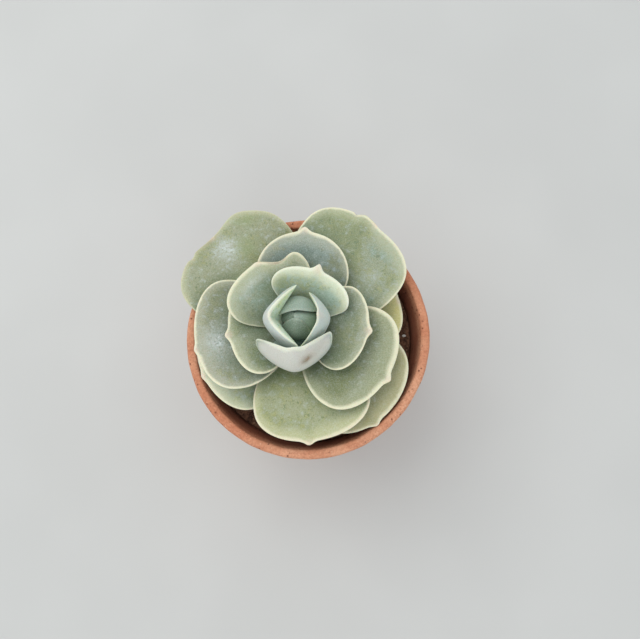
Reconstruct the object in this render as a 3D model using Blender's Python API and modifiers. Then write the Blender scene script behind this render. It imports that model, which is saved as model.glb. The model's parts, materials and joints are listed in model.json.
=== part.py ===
"""A potted succulent: a rosette of cupped leaves on a short stem, in a plain clay pot.

Metres, +Z up. The origin is the centre of the pot's foot, on the surface that it stands on.
Leaf dimensions are written in millimetres and degrees, and turned into metres by MM.
"""
from dataclasses import dataclass
from math import cos, exp, hypot, pi, radians, sin, sqrt, tan

import bmesh
import bpy

MM = 0.001

# Clay pot
POT_HEIGHT = 88 * MM
RIM_RADIUS = 50 * MM            # outside of the collar, at the lip
LIP_INNER_RADIUS = 46.2 * MM
LIP_OUTER_ROUND = 1.5 * MM
LIP_INNER_ROUND = 0.8 * MM
COLLAR_HEIGHT = 21.5 * MM
COLLAR_TAPER = 0.6 * MM         # how much the collar narrows from lip to shoulder
COLLAR_ROUND = 1.0 * MM
SHOULDER_RADIUS = 45.6 * MM     # body just under the collar
FOOT_RADIUS = 32.0 * MM
FOOT_ROUND = 1.2 * MM
FLOOR_THICKNESS = 6 * MM
FLOOR_RADIUS = 25.5 * MM
FLOOR_ROUND = 2.0 * MM
DRAIN_RADIUS = 5.5 * MM
ROUND_STEPS = 3

# Potting soil
SOIL_TOP = 80 * MM
SOIL_EDGE_RADIUS = 43.9 * MM    # inside of the pot at the soil's surface
SOIL_ROUND = 2.0 * MM           # where the surface meets the wall
GAP = 0.3 * MM                  # between any two pieces that meet

# Plant
PLANT_X = -2.5 * MM
PLANT_Y = 3.0 * MM
LOWEST_BASE = 82.6              # height of the lowest leaf's base, mm
STEM_REACH = 6.2                # leaf base to stem axis at the lowest base, mm
STEM_TAPER = 0.24               # how much that shrinks for each mm climbed
STEM_CLEARANCE = 1.1            # leaf base to stem surface, mm
STEM_DROP = 0.4                 # how far the stem's taper lies below the leaves' bases, mm
STEM_BURIED = 68 * MM           # height of the stem's cut end in the soil
STEM_BURIED_RADIUS = 4.2 * MM
SOCKET_RISE = 5 * MM            # how far the cutter of the stem's socket stands out of the soil
STEM_TIP = 100.2                # height of the growing point, mm
STEM_RINGS = 6

SPIN_STEPS = 40
STEM_STEPS = 16
LEAF_SEGMENTS = 16
LEAF_RINGS = 12
BUD_SEGMENTS = 12
BUD_RINGS = 8

# Colours, sRGB
CLAY_COLOUR = (0.74, 0.50, 0.38)
SOIL_COLOUR = (0.24, 0.17, 0.13)
STEM_COLOUR = (0.45, 0.42, 0.30)
OUTER_LEAF_COLOUR = (0.62, 0.63, 0.51)
INNER_LEAF_COLOUR = (0.60, 0.67, 0.60)


@dataclass
class Leaf:
    """One leaf. It grows along +X in its own frame, and azimuth turns it about the stem."""
    azimuth: float              # direction of growth, anticlockwise from +X
    reach: float                # stem axis to tip
    tip_height: float
    level: float                # base above the lowest base
    base_rise: float            # slope of the midrib at the base
    tip_rise: float             # slope at the tip; over 90 it curls back over the bud
    width: float
    cup_left: float = 22        # how far the left half curls up, seen from the stem
    cup_right: float = 22
    cup_at_base: float = 1.0    # share of the curl at each end
    cup_at_tip: float = 1.0
    fold: float = 0             # keel along the midrib
    fold_round: float = 3.0
    roll: float = 0             # turn about the midrib; the left side rises
    thickness: float = 4.2
    widest_at: float = 0.60     # share of the length
    base_fullness: float = 0.8  # smaller is fuller
    tip_fullness: float = 2.3   # larger is squarer
    lopside: float = 0          # share by which the left half is wider
    point: float = 1.6          # length of the pointed tip
    point_width: float = 2.0
    point_offset: float = 0
    tip_flat: float = 0         # how much the end is cut back
    upright: float = 0          # 0 curls square to the midrib, 1 square to the chord
    edge: float = 0.85          # smaller is a blunter margin
    base_pull: float = 0.4      # how far each end's slope carries along the midrib
    tip_pull: float = 0.35
    base_radius: float = 0      # stem axis to base; 0 takes the stem's own taper


# From the lowest leaf to the growing point
LEAVES = [
    Leaf(azimuth=15, reach=43, tip_height=87, level=-0.2, base_rise=9, tip_rise=-2, width=32,
         cup_left=8, cup_right=8, roll=4),
    Leaf(azimuth=207, reach=44, tip_height=90.5, level=1.6, base_rise=13, tip_rise=5, width=42,
         cup_left=0, cup_right=8, point=0.8, roll=-1),
    Leaf(azimuth=316, reach=49, tip_height=89.2, level=1.2, base_rise=12, tip_rise=3, width=45,
         cup_left=6, cup_right=0, base_fullness=1.0, point_offset=-7.5, roll=5),
    Leaf(azimuth=279, reach=46, tip_height=93.5, level=3.6, base_rise=14, tip_rise=4, width=47,
         cup_left=20, cup_right=17, tip_fullness=2.6, point_offset=-3.7, roll=2),
    Leaf(azimuth=135, reach=54.6, tip_height=92.2, level=4.4, base_rise=15, tip_rise=-10, width=52,
         cup_left=6, cup_right=5, tip_fullness=2.6, tip_flat=2, point=0, roll=3),
    Leaf(azimuth=53.5, reach=51.6, tip_height=94.5, level=5.2, base_rise=22, tip_rise=-8, width=48,
         cup_left=14, cup_right=14, tip_fullness=2.6, tip_flat=0.5, point=0.5, roll=3),
    Leaf(azimuth=189, reach=42, tip_height=98.5, level=6.6, base_rise=23, tip_rise=5, width=45,
         cup_left=20, cup_right=14, tip_fullness=2.4, point=1.0, point_offset=4, roll=1),
    Leaf(azimuth=327, reach=40.5, tip_height=99, level=7.4, base_rise=22, tip_rise=6, width=44,
         cup_left=20, cup_right=20),
    Leaf(azimuth=87, reach=37, tip_height=100.8, level=7.7, base_rise=25, tip_rise=5, width=38,
         widest_at=0.5, base_fullness=1.0, tip_fullness=2.0, point=2.0, roll=-2),
    Leaf(azimuth=190, reach=28, tip_height=100.8, level=9.5, base_rise=25, tip_rise=10, width=36,
         cup_left=19, cup_right=19, roll=2, thickness=3.8),
    Leaf(azimuth=126, reach=28.5, tip_height=105.5, level=12.2, base_rise=27, tip_rise=10, width=37,
         cup_left=15, cup_right=24, cup_at_base=0.3, base_fullness=1.0, tip_fullness=2.6, point=0.5,
         lopside=0.09, roll=6, thickness=3.6),
    Leaf(azimuth=351, reach=27.2, tip_height=104.5, level=11.0, base_rise=22, tip_rise=16, width=34,
         cup_left=21, cup_right=21, roll=1, thickness=3.8),
    Leaf(azimuth=68, reach=20, tip_height=109.5, level=14.2, base_rise=27, tip_rise=26, width=32,
         cup_left=24, cup_right=24, base_fullness=1.1, point=2.5, point_width=1.6, roll=5,
         thickness=3.4),
    Leaf(azimuth=266, reach=13.1, tip_height=115, level=14.8, base_rise=5, tip_rise=125, width=31.5,
         cup_left=38, cup_right=38, cup_at_base=1.2, cup_at_tip=0.9, fold=28, fold_round=1.5,
         lopside=0.03, roll=7, thickness=3.5, tip_fullness=2.0, edge=0.75, upright=0.7,
         base_pull=0.87, tip_pull=0.7),
    Leaf(azimuth=182, reach=10.6, tip_height=116, level=16.0, base_rise=18, tip_rise=108, width=26.4,
         cup_left=45, cup_right=45, cup_at_base=1.3, cup_at_tip=0.6, fold=38, fold_round=1.5,
         thickness=4.0, tip_fullness=2.0, edge=0.75, upright=0.5, base_pull=0.45),
    Leaf(azimuth=0, reach=8.4, tip_height=116, level=15.9, base_rise=37, tip_rise=120, width=25.4,
         cup_left=42, cup_right=42, cup_at_base=1.3, cup_at_tip=0.6, fold=30, fold_round=1.5,
         lopside=-0.18, thickness=2.6, tip_fullness=2.0, edge=0.75, upright=0.6,
         base_pull=0.5, tip_pull=0.6),
    Leaf(azimuth=82, reach=4.2, tip_height=113.6, level=17.2, base_rise=42, tip_rise=138, width=14.8,
         cup_left=42, cup_right=42, fold=22, fold_round=2.5, lopside=0.05, thickness=1.8, point=0,
         upright=0.7, base_pull=0.6, tip_pull=0.8),
    Leaf(azimuth=29, reach=2.0, tip_height=111, level=18.0, base_rise=40, tip_rise=135, width=7.4,
         cup_left=32, cup_right=32, fold=20, fold_round=1.0, thickness=1.6, point=0.3,
         upright=0.6, base_pull=0.5, tip_pull=0.55, base_radius=1.8),
    Leaf(azimuth=158, reach=2.6, tip_height=110.6, level=18.6, base_rise=40, tip_rise=135, width=6.8,
         cup_left=32, cup_right=32, fold=20, fold_round=1.0, thickness=1.6, point=0.3,
         upright=0.6, base_pull=0.5, tip_pull=0.55, base_radius=1.6),
    Leaf(azimuth=268, reach=2.2, tip_height=110.2, level=19.2, base_rise=35, tip_rise=135, width=7.8,
         cup_left=32, cup_right=32, fold=20, fold_round=1.0, thickness=1.7, point=0.3,
         upright=0.6, base_pull=0.5, tip_pull=0.55, base_radius=1.6),
]
FIRST_BUD_LEAF = 17             # from here on the leaves are a few millimetres wide

# Shape that every leaf shares
BASE_NECK = 0.34                # base width, as a share of the full width
BASE_CLOSE = 0.10               # share of the length over which the base rounds shut
FACE_SHARE = 0.7                # thickness above and below the midrib's surface
BACK_SHARE = 1.3
TIP_FLAT_WIDTH = 9.0            # half-width of a cut-back end, mm


def smooth(t):
    """0 below 0, 1 above 1, and an even slope between."""
    t = min(max(t, 0.0), 1.0)
    return t * t * (3 - 2 * t)


def stem_axis_to_base(level):
    return STEM_REACH - STEM_TAPER * level


def midrib(leaf, s):
    """Point and unit direction of the midrib at a share s of its length, as (reach, height)."""
    base = (leaf.base_radius or stem_axis_to_base(leaf.level), LOWEST_BASE + leaf.level)
    tip = (leaf.reach, leaf.tip_height)
    length = hypot(tip[0] - base[0], tip[1] - base[1])
    out, back = leaf.base_pull * length, leaf.tip_pull * length
    base_angle, tip_angle = radians(leaf.base_rise), radians(leaf.tip_rise)
    near_base = (base[0] + out * cos(base_angle), base[1] + out * sin(base_angle))
    near_tip = (tip[0] - back * cos(tip_angle), tip[1] - back * sin(tip_angle))
    r = 1 - s
    point, slope = [], []
    for a, b, c, d in zip(base, near_base, near_tip, tip):
        point.append(r**3 * a + 3 * r * r * s * b + 3 * r * s * s * c + s**3 * d)
        slope.append(r * r * (b - a) + 2 * r * s * (c - b) + s * s * (d - c))
    size = hypot(*slope)
    chord = ((tip[0] - base[0]) / length, (tip[1] - base[1]) / length)
    return point, (slope[0] / size, slope[1] / size), chord


def outline(leaf, s):
    """Half-width at s, as a share of the full half-width."""
    if s > leaf.widest_at:
        past = (s - leaf.widest_at) / (1 - leaf.widest_at)
        return sqrt(max(1 - past**leaf.tip_fullness, 0.0))
    swell = sin(pi / 2 * s / leaf.widest_at)**leaf.base_fullness
    closing = sqrt(1 - (1 - min(s / BASE_CLOSE, 1.0))**2)
    return closing * (BASE_NECK + (1 - BASE_NECK) * swell)


def moulded(leaf, x, y, z):
    """Where a point of the unit sphere goes: x is across the leaf, y through it, z along it."""
    s = (1 + z) / 2
    ring = sqrt(max(1 - z * z, 1e-9))
    point, along, chord = midrib(leaf, s)

    across = leaf.width / 2 * outline(leaf, s) / ring * x
    across *= 1 + leaf.lopside if across > 0 else 1 - leaf.lopside

    # The tip's point, and a cut-back end
    stretch = leaf.point * exp(-((across - leaf.point_offset) / leaf.point_width)**2)
    stretch *= smooth((s - 0.9) / 0.1)**1.5
    stretch -= leaf.tip_flat * exp(-(across / TIP_FLAT_WIDTH)**2) * smooth((s - 0.7) / 0.3)

    # Curl of the two halves, then the keel
    cup = leaf.cup_left if across > 0 else leaf.cup_right
    cup = max(radians(cup) * (leaf.cup_at_base * (1 - s) + leaf.cup_at_tip * s), 1e-4)
    bend_radius = leaf.width / 2 / cup
    angle = across / bend_radius
    side, up = bend_radius * sin(angle), bend_radius * (1 - cos(angle))
    fold = radians(leaf.fold) * smooth((s - 0.2) / 0.6)
    span = hypot(across, leaf.fold_round)
    up += tan(fold) * (span - leaf.fold_round)

    # Thickness, square to the curled surface
    depth = leaf.thickness / 2 * ring * (abs(y) / ring)**leaf.edge * (0.5 + 0.5 * smooth(s / 0.4))
    depth *= (FACE_SHARE if y > 0 else -BACK_SHARE) * (1 - 0.2 * s)
    roll = radians(leaf.roll)
    tilt = (abs(angle) + fold * abs(across) / span) * (1 if across > 0 else -1) + roll
    depth_side, depth_up = -sin(tilt) * depth, cos(tilt) * depth
    side, up = side * cos(roll) - up * sin(roll), side * sin(roll) + up * cos(roll)

    # Out of the section's plane, into the leaf's own frame
    square = (-along[1], along[0])
    lift = [(1 - leaf.upright) * square[0] - leaf.upright * chord[1],
            (1 - leaf.upright) * square[1] + leaf.upright * chord[0]]
    size = hypot(*lift)
    outward, height = (point[i] + lift[i] / size * up + square[i] * depth_up + along[i] * stretch
                       for i in (0, 1))
    return outward * MM, (side + depth_side) * MM, height * MM


def arc(centre_r, centre_z, radius, start, end, steps=ROUND_STEPS):
    """Points (radius, height) round a corner, angles in degrees from outward."""
    points = []
    for i in range(steps + 1):
        angle = radians(start + (end - start) * i / steps)
        points.append((centre_r + radius * cos(angle), centre_z + radius * sin(angle)))
    return points


def linear(colour):
    """sRGB to the linear colour that a shader takes."""
    return [((c + 0.055) / 1.055)**2.4 if c > 0.04045 else c / 12.92 for c in colour]


def mixed(a, b, share):
    return [(1 - share) * x + share * y for x, y in zip(a, b)]


def material(name, colour, roughness):
    mat = bpy.data.materials.new(name)
    mat.use_nodes = True
    shader = mat.node_tree.nodes["Principled BSDF"]
    shader.inputs["Base Color"].default_value = (*linear(colour), 1)
    shader.inputs["Roughness"].default_value = roughness
    shader.inputs["Metallic"].default_value = 0
    mat.diffuse_color = (*linear(colour), 1)
    return mat


def new_object(name, mesh, collection, mat=None):
    obj = bpy.data.objects.new(name, mesh)
    collection.objects.link(obj)
    if mat:
        mesh.materials.append(mat)
    return obj


def turned(name, profile, closed, steps, collection, mat):
    """A profile of (radius, height) points, spun about Z by a Screw modifier."""
    mesh = bpy.data.meshes.new(name)
    points = [(r, 0, z) for r, z in profile]
    edges = [(i, i + 1) for i in range(len(points) - 1)]
    if closed:
        edges.append((len(points) - 1, 0))
    mesh.from_pydata(points, edges, [])
    obj = new_object(name, mesh, collection, mat)
    spin = obj.modifiers.new("spin", "SCREW")
    spin.axis = "Z"
    spin.steps = steps
    spin.render_steps = steps
    spin.use_merge_vertices = True
    spin.merge_threshold = 0.00001
    spin.use_smooth_shade = True
    return obj


def make_pot(collection):
    collar_foot = POT_HEIGHT - COLLAR_HEIGHT
    shoulder = RIM_RADIUS - COLLAR_TAPER
    profile = arc(RIM_RADIUS - LIP_OUTER_ROUND, POT_HEIGHT - LIP_OUTER_ROUND, LIP_OUTER_ROUND, 90, 0)
    profile += arc(shoulder - COLLAR_ROUND, collar_foot + COLLAR_ROUND, COLLAR_ROUND, 0, -90)
    profile.append((SHOULDER_RADIUS, collar_foot))
    profile += arc(FOOT_RADIUS - FOOT_ROUND, FOOT_ROUND, FOOT_ROUND, 0, -90)
    profile += [(DRAIN_RADIUS, 0), (DRAIN_RADIUS, FLOOR_THICKNESS)]
    profile += arc(FLOOR_RADIUS, FLOOR_THICKNESS + FLOOR_ROUND, FLOOR_ROUND, -90, 0)
    profile.append((SOIL_EDGE_RADIUS, SOIL_TOP))
    profile += arc(LIP_INNER_RADIUS + LIP_INNER_ROUND, POT_HEIGHT - LIP_INNER_ROUND,
                   LIP_INNER_ROUND, 180, 90)
    return turned("pot", profile, True, SPIN_STEPS, collection,
                  material("terracotta", CLAY_COLOUR, 0.9))


def wall_radius(height):
    """Inside of the pot between its floor and the soil's surface."""
    low, low_radius = FLOOR_THICKNESS + FLOOR_ROUND, FLOOR_RADIUS + FLOOR_ROUND
    return low_radius + (height - low) * (SOIL_EDGE_RADIUS - low_radius) / (SOIL_TOP - low)


def make_soil(collection, cutters):
    edge_height = SOIL_TOP - SOIL_ROUND
    edge = wall_radius(edge_height) - GAP
    profile = [(0, SOIL_TOP)]
    profile += arc(edge - SOIL_ROUND, edge_height, SOIL_ROUND, 90, 0)
    profile += arc(FLOOR_RADIUS, FLOOR_THICKNESS + FLOOR_ROUND, FLOOR_ROUND - GAP, 0, -90)
    profile.append((0, FLOOR_THICKNESS + GAP))
    soil = turned("soil", profile, False, SPIN_STEPS, collection,
                  material("potting_soil", SOIL_COLOUR, 1.0))

    # Socket that the stem stands in
    bm = bmesh.new()
    bottom, top = STEM_BURIED - GAP, SOIL_TOP + SOCKET_RISE
    bmesh.ops.create_cone(bm, cap_ends=True, segments=STEM_STEPS, radius1=STEM_BURIED_RADIUS + 2 * GAP,
                          radius2=stem_axis_to_base(0) * MM, depth=top - bottom)
    mesh = bpy.data.meshes.new("stem_socket")
    bm.to_mesh(mesh)
    bm.free()
    socket = new_object("stem_socket", mesh, cutters)
    socket.location = (PLANT_X, PLANT_Y, (top + bottom) / 2)
    socket.hide_render = True
    socket.display_type = "WIRE"
    cut = soil.modifiers.new("socket", "BOOLEAN")
    cut.operation = "DIFFERENCE"
    cut.solver = "EXACT"
    cut.object = socket
    return soil


def make_stem(collection):
    """A stub in the soil, then a taper that follows the leaves' bases up to the growing point."""
    profile = [(0, STEM_TIP * MM)]
    for i in range(STEM_RINGS + 1):
        level = (STEM_TIP - LOWEST_BASE) * (1 - i / STEM_RINGS)
        radius = stem_axis_to_base(level) - STEM_CLEARANCE
        profile.append((radius * MM, (LOWEST_BASE + level - STEM_DROP) * MM))
    profile += [(STEM_BURIED_RADIUS, STEM_BURIED), (0, STEM_BURIED)]
    stem = turned("stem", profile, False, STEM_STEPS, collection,
                  material("stem_skin", STEM_COLOUR, 0.8))
    stem.location = (PLANT_X, PLANT_Y, 0)
    return stem


def make_leaf(index, leaf, collection, plant):
    bud = index >= FIRST_BUD_LEAF
    bm = bmesh.new()
    bmesh.ops.create_uvsphere(bm, u_segments=BUD_SEGMENTS if bud else LEAF_SEGMENTS,
                              v_segments=BUD_RINGS if bud else LEAF_RINGS, radius=1)
    for vert in bm.verts:
        vert.co = moulded(leaf, *vert.co)
    bmesh.ops.recalc_face_normals(bm, faces=bm.faces)
    name = f"leaf_{index + 1:02d}"
    mesh = bpy.data.meshes.new(name)
    bm.to_mesh(mesh)
    bm.free()
    mesh.shade_smooth()
    share = leaf.level / LEAVES[-1].level
    skin = material(f"{name}_skin", mixed(OUTER_LEAF_COLOUR, INNER_LEAF_COLOUR, share), 0.6)
    obj = new_object(name, mesh, collection, skin)
    obj.parent = plant
    obj.rotation_euler.z = radians(leaf.azimuth)
    return obj


def main():
    for obj in list(bpy.data.objects):
        bpy.data.objects.remove(obj)
    scene = bpy.context.scene
    collection = bpy.data.collections.new("potted_succulent")
    cutters = bpy.data.collections.new("cutters")
    scene.collection.children.link(collection)
    scene.collection.children.link(cutters)

    make_pot(collection)
    make_soil(collection, cutters)
    make_stem(collection)
    plant = new_object("plant_axis", None, collection)
    plant.location = (PLANT_X, PLANT_Y, 0)
    for index, leaf in enumerate(LEAVES):
        make_leaf(index, leaf, collection, plant)


main()
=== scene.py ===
import json
from dataclasses import dataclass
from math import cos, pi, radians, sin

import bmesh
import bpy
import numpy as np
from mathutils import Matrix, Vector, noise
from mathutils.bvhtree import BVHTree


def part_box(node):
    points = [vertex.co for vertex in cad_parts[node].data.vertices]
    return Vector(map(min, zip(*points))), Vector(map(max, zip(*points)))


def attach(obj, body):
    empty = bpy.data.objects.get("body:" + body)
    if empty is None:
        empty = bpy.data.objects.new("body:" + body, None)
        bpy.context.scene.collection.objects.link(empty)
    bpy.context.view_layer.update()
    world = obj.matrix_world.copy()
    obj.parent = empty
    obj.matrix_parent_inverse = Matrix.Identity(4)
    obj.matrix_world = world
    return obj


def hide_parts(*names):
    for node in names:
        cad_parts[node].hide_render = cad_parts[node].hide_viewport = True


# A potted succulent: twenty fleshy leaves with a powdery bloom, a short stem, potting mix and a clay pot.
# Leaves and grains are worked out in millimetres, and MM turns them into the frame's metres.
MM = 0.001

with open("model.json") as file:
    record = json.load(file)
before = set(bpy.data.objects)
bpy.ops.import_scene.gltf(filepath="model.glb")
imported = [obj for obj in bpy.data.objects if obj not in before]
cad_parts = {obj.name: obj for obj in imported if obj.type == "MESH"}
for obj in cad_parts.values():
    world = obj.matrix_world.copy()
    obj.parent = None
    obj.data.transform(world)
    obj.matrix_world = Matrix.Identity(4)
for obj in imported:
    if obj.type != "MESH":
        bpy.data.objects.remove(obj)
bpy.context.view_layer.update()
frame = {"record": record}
_, POT_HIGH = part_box("pot")
_, SOIL_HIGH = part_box("soil")
STEM_LOW, STEM_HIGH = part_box("stem")


# ---------------------------------------------------------------- leaves: shape

PLANT_X = (STEM_LOW.x + STEM_HIGH.x) / 2 / MM
PLANT_Y = (STEM_LOW.y + STEM_HIGH.y) / 2 / MM
LOWEST_BASE = 82.6              # height of the lowest leaf's base
STEM_REACH = 6.2                # leaf base to stem axis at the lowest base
STEM_TAPER = 0.24               # how much that shrinks for each millimetre climbed
BASE_NECK = 0.34                # base width, as a share of the full width
BASE_CLOSE = 0.10               # share of the length over which the base rounds shut
BACK_SHARE = 1.3                # thickness under the midrib's surface, as a share of half of it
TIP_FLAT_WIDTH = 9.0            # half-width of a cut-back end
BASE_THICKNESS = 0.5            # thickness at the base and thinning at the tip, as shares of the full one
TIP_THINNING = 0.2
FOLD_START = 0.2                # shares of the length where the keel, the waves, the end and
FOLD_RUN = 0.6                  # the point set in, and over which the first two grow to their full
WAVE_START = 0.3
WAVE_RUN = 0.3
END_START = 0.7
POINT_START = 0.9
SLOW_WAVE = 5.5                 # radians along the leaf's length
QUICK_WAVE = 9.0
LEAF_SEGMENTS = 96
LEAF_RINGS = 64
OUTLINE_POINTS = 400
FIRST_SMALL_LEAF = 17           # from this index on, a leaf has half as many segments and rings
FAR = 14.0                      # a leaf further above than this paints no shade on the one below

# Colours are sRGB. YELLOWER to PALER are tints that a leaf's own colour is multiplied by
GREEN = (0.60, 0.63, 0.50)
BACK = (0.78, 0.79, 0.80)
YELLOWER = (1.03, 1.01, 0.86)
BLUER = (0.93, 1.00, 1.07)
# DEEPER and DEEPER_BLUE give the darker colour used for painted shade, for darker patches and flecks, and
# towards the base of the back
DEEPER = (0.68, 0.77, 0.60)
DEEPER_BLUE = (0.68, 0.77, 0.76)
FLECKED = (0.60, 0.65, 0.50)
PALER = (1.27, 1.23, 1.24)
CREAM = (0.92, 0.91, 0.78)
PINK = (0.90, 0.81, 0.73)
BLOOM = (0.78, 0.81, 0.80)
RUBBED = (0.52, 0.57, 0.34)
SCAR = (0.56, 0.48, 0.38)
YOUNG_RIM = (0.90, 0.92, 0.83)
BUD = (0.78, 0.85, 0.74)
HEART = (0.56, 0.63, 0.57)
CORE = (0.45, 0.52, 0.45)
WHITE = (1, 1, 1)

CLAY_DARK = (0.79, 0.52, 0.395)
CLAY_PALE = (0.88, 0.65, 0.52)
CLAY_GRIT = (0.60, 0.35, 0.24)
CLAY_RING = (0.88, 0.66, 0.52)
CLAY_SPECK = (0.92, 0.78, 0.66)
CLAY_PIT = (0.42, 0.22, 0.15)
CLAY_INSIDE_DARK = (0.47, 0.25, 0.17)
CHALK = (0.86, 0.80, 0.74)
SOIL_DARK = (0.26, 0.17, 0.13)
SOIL_PALE = (0.48, 0.34, 0.26)
SOIL_CRUMB = (0.50, 0.41, 0.33)
GRAIN_DARK = (0.22, 0.15, 0.12)
GRAIN_BROWN = (0.50, 0.38, 0.29)
GRAIN_PALE = (0.66, 0.58, 0.50)
GRAIN_STAIN = (0.20, 0.14, 0.10)
PERLITE_WHITE = (0.90, 0.89, 0.86)
STEM_GREEN = (0.47, 0.50, 0.31)
STEM_TAN = (0.56, 0.50, 0.36)
STEM_BARK = (0.40, 0.31, 0.22)
FLOOR_GREY = (0.765, 0.765, 0.755)
FLOOR_PALE = (0.78, 0.78, 0.77)


@dataclass
class Leaf:
    """One leaf's shape and surface, in millimetres and degrees where nothing else is said."""
    azimuth: float              # direction of growth, anticlockwise from +X
    reach: float                # stem axis to tip
    tip_height: float
    level: float                # base above the lowest base
    base_rise: float            # slope of the midrib at the base
    tip_rise: float             # slope at the tip; over 90 it curls back over the bud
    width: float
    cup_left: float = 22        # how far the left half curls up, seen from the stem
    cup_right: float = 22
    cup_at_base: float = 1.0
    cup_at_tip: float = 1.0
    fold: float = 0             # keel along the midrib
    fold_round: float = 3.0     # how softly the keel is rounded
    roll: float = 0             # turn about the midrib; the left side rises
    thickness: float = 4.2
    widest_at: float = 0.60     # share of the length
    base_fullness: float = 0.8  # under 1 the base swells out early
    tip_fullness: float = 2.3   # over 2 the end is blunter than an ellipse
    lopside: float = 0          # share by which the left half is wider
    point: float = 1.6          # length of the pointed tip
    point_width: float = 2.0
    point_offset: float = 0
    tip_flat: float = 0         # how much the end is cut back
    upright: float = 0          # 0 curls square to the midrib, 1 square to the chord
    edge: float = 0.85          # how fast the thickness falls towards the margin
    belly: float = 0.7          # thickness over the midrib's surface, as a share of half of it
    base_pull: float = 0.4      # how far the slopes at the two ends reach, as shares of the chord
    tip_pull: float = 0.35
    base_radius: float = 0      # base to stem axis; 0 takes it from the stem's taper
    wave: float = 0.35          # height of the margin's slow waves
    notches: tuple = ()         # (across in mm, half-width, depth) at the end; under 0 it bulges
    rubs: tuple = ()            # where the bloom is rubbed off, as blots() reads them
    scars: tuple = ()           # dry brown marks, likewise
    frosts: tuple = ()          # where the bloom is thick, likewise
    face: tuple = GREEN
    back: tuple = BACK
    rim: tuple = CREAM
    blue: float = 0.5           # share of the face that is blue-grey
    deep: float = 0.75          # how much darker the face is near its base and under other leaves: painted shade
    pink: float = 0.1           # blush of the margin
    blush: float = 0.45         # blush of the tip
    margin: float = 1.0         # width of the pale margin, as a share of the usual one
    border: float = 0.75        # strength of the soft border inside it
    bloom: float = 0.65         # strength of the waxy powder


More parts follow.
